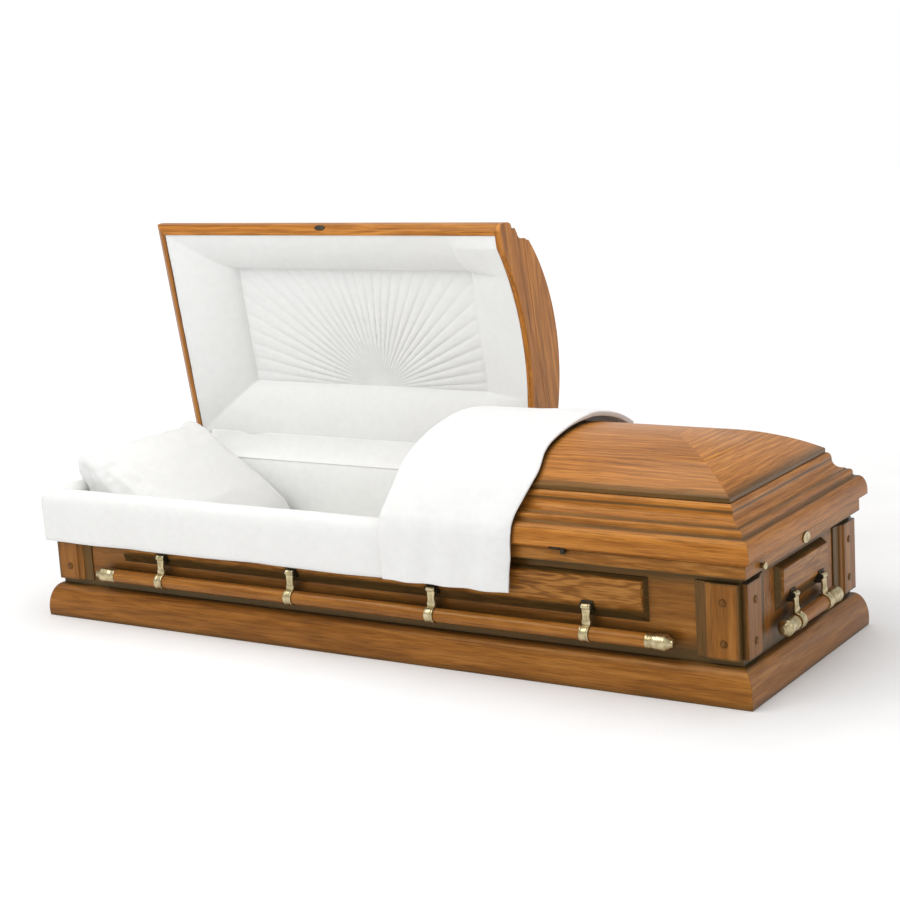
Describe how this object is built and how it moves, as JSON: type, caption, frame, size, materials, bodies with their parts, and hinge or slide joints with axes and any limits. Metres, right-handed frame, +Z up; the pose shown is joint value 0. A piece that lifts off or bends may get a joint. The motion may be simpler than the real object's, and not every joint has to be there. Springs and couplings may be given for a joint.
{
  "type": "wooden coffin",
  "caption": "Half-couch wooden casket with a moulded oak case, domed lids, hinged bar handles on all sides and a pleated cloth interior with pillow, apron and throw.",
  "frame": {"origin": "centre of the underside of the base", "axes": "+X to the foot end along the length, -Y to the front, +Z up"},
  "size_m": [2.142, 0.8799, 1.0165],
  "materials": {
    "oak": "satin",
    "dark_oak": "satin",
    "old_brass": "antique",
    "dark_metal": "satin",
    "cloth": "matte"
  },
  "bodies": {
    "shell": {"base_front": "oak", "base_back": "oak", "base_foot": "oak", "base_head": "oak", "case": "dark_oak", "rail_front": "oak", "rail_back": "oak", "rail_foot": "oak", "rail_head": "oak", "panel_front": "oak", "panel_back": "oak", "panel_foot": "oak", "panel_head": "oak", "post_front_foot": "oak", "post_front_head": "oak", "post_back_foot": "oak", "post_back_head": "oak", "post_foot_front": "oak", "post_foot_back": "oak", "post_head_front": "oak", "post_head_back": "oak", "lug_front_1": "dark_metal", "lug_front_2": "dark_metal", "lug_front_3": "dark_metal", "lug_front_4": "dark_metal", "lug_back_1": "dark_metal", "lug_back_2": "dark_metal", "lug_back_3": "dark_metal", "lug_back_4": "dark_metal", "lug_foot_1": "dark_metal", "lug_foot_2": "dark_metal", "lug_head_1": "dark_metal", "lug_head_2": "dark_metal", "key_cover": "old_brass", "key_knob": "old_brass", "hinge_case_leaf": "old_brass", "case_lining": "cloth", "pillow": "cloth", "apron": "cloth"},
    "head_lid": {"head_lid_front": "oak", "head_lid_back": "oak", "head_lid_end": "oak", "head_lid_header": "oak", "head_lid_crown": "oak", "head_lid_latch": "old_brass", "head_lid_hinge_leaf": "old_brass", "head_lid_lining": "cloth"},
    "foot_lid": {"foot_lid_front": "oak", "foot_lid_back": "oak", "foot_lid_end": "oak", "foot_lid_header": "oak", "foot_lid_crown": "oak", "foot_lid_latch": "old_brass", "foot_lid_hinge_leaf": "old_brass", "foot_lid_lining": "cloth", "throw": "cloth"},
    "front_handle": {"handle_front": "oak"},
    "back_handle": {"handle_back": "oak"},
    "foot_handle": {"handle_foot": "oak"},
    "head_handle": {"handle_head": "oak"}
  },
  "joints": [
    {"name": "head_lid_hinge", "type": "hinge", "parent": "shell", "child": "head_lid", "pos_m": [0, 0.3395, 0.326], "axis": [1, 0, 0], "range_deg": [0, 81], "deforming": ["apron", "pillow", "throw"]},
    {"name": "foot_lid_hinge", "type": "hinge", "parent": "shell", "child": "foot_lid", "pos_m": [0, 0.3395, 0.326], "axis": [-1, 0, 0], "range_deg": [0, 81]},
    {"name": "front_handle_swing", "type": "hinge", "parent": "shell", "child": "front_handle", "pos_m": [0, -0.345, 0.197], "axis": [-1, 0, 0], "range_deg": [0, 85]},
    {"name": "back_handle_swing", "type": "hinge", "parent": "shell", "child": "back_handle", "pos_m": [0, 0.345, 0.197], "axis": [1, 0, 0], "range_deg": [0, 85]},
    {"name": "foot_handle_swing", "type": "hinge", "parent": "shell", "child": "foot_handle", "pos_m": [1.046, 0, 0.197], "axis": [0, -1, 0], "range_deg": [0, 85]},
    {"name": "head_handle_swing", "type": "hinge", "parent": "shell", "child": "head_handle", "pos_m": [-1.046, 0, 0.197], "axis": [0, 1, 0], "range_deg": [0, 85]}
  ]
}
